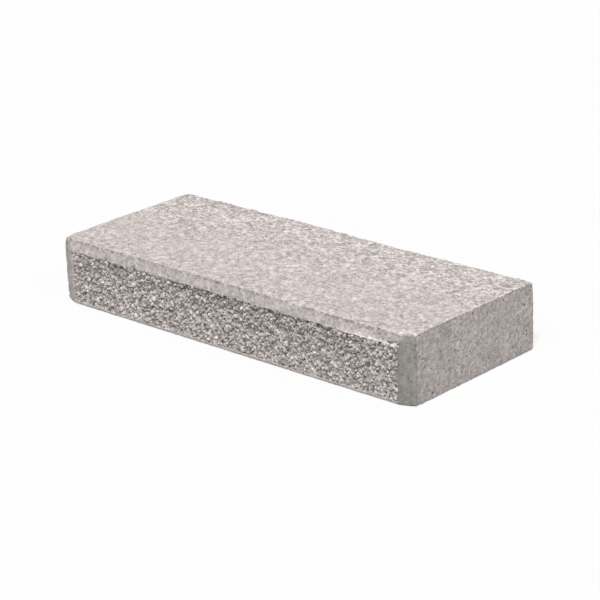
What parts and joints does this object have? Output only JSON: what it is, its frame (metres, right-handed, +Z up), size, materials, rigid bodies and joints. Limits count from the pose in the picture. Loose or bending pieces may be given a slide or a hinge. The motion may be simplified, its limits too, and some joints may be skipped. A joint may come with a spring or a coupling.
{
  "type": "concrete step",
  "caption": "Precast concrete garden step: a solid block with a flat tread, bevelled front edge, chamfered front corners and a split rock face.",
  "frame": {"origin": "middle of the base, on the surface that the step lies on", "axes": "+X along the step, -Y out of the split front, +Z up through the tread"},
  "size_m": [1, 0.4, 0.15],
  "materials": {
    "concrete": "dry-cast concrete, pale warm grey, fine open texture on the tread and ends, broken aggregate on the split front"
  },
  "bodies": {
    "root": {"step_block": "concrete"}
  },
  "joints": []
}
